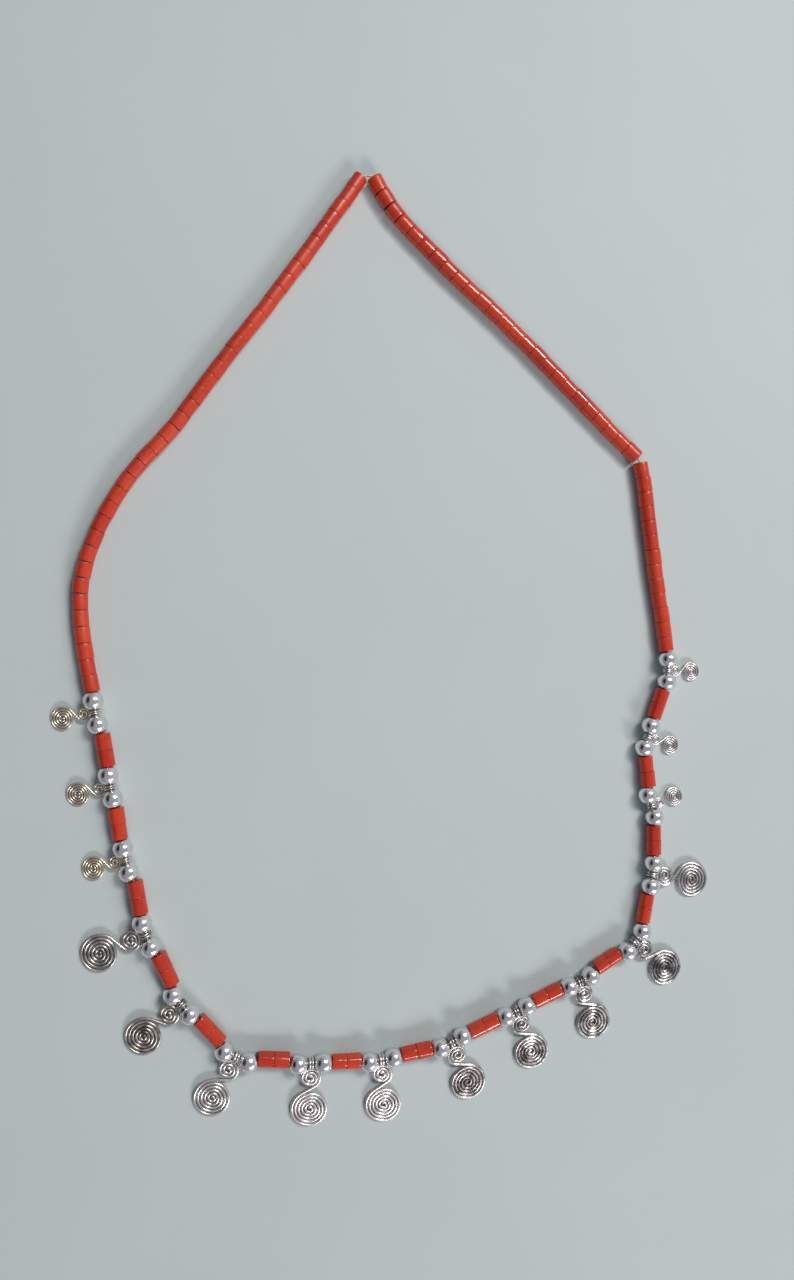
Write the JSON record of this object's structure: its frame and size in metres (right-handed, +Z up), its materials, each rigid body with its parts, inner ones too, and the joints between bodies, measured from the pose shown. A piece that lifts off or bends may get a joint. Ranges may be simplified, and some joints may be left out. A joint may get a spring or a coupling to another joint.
{
  "type": "necklace",
  "caption": "Long beaded necklace of short coral tubes with double-spiral wire charms between silver balls, lying flat as a closed loop.",
  "frame": {"origin": "middle of the loop's outline on the surface that the necklace lies on", "axes": "+Z up from the surface, +Y along the length of the loop towards the point at its top, +X to the right seen from above"},
  "size_m": [0.2622, 0.372, 0.0076],
  "materials": {
    "coral": "polished opaque orange-red coral",
    "ball_silver": "mirror-polished silver",
    "charm_silver": "drawn silver wire, satin, darkened between the turns",
    "thread": "thin pale beading thread"
  },
  "bodies": {
    "root": {"thread": "thread", "coral_run_left": "coral", "coral_run_right": "coral", "coral_pair_1": "coral", "coral_pair_2": "coral", "coral_pair_3": "coral", "coral_pair_4": "coral", "coral_pair_5": "coral", "coral_pair_6": "coral", "coral_pair_7": "coral", "coral_pair_8": "coral", "coral_pair_9": "coral", "coral_pair_10": "coral", "coral_pair_11": "coral", "coral_pair_12": "coral", "coral_pair_13": "coral", "coral_pair_14": "coral", "coral_pair_15": "coral", "ball_pair_1": "ball_silver", "ball_pair_2": "ball_silver", "ball_pair_3": "ball_silver", "ball_pair_4": "ball_silver", "ball_pair_5": "ball_silver", "ball_pair_6": "ball_silver", "ball_pair_7": "ball_silver", "ball_pair_8": "ball_silver", "ball_pair_9": "ball_silver", "ball_pair_10": "ball_silver", "ball_pair_11": "ball_silver", "ball_pair_12": "ball_silver", "ball_pair_13": "ball_silver", "ball_pair_14": "ball_silver", "ball_pair_15": "ball_silver", "ball_pair_16": "ball_silver", "charm_1": "charm_silver", "charm_2": "charm_silver", "charm_3": "charm_silver", "charm_4": "charm_silver", "charm_5": "charm_silver", "charm_6": "charm_silver", "charm_7": "charm_silver", "charm_8": "charm_silver", "charm_9": "charm_silver", "charm_10": "charm_silver", "charm_11": "charm_silver", "charm_12": "charm_silver", "charm_13": "charm_silver", "charm_14": "charm_silver", "charm_15": "charm_silver", "charm_16": "charm_silver"}
  },
  "joints": []
}
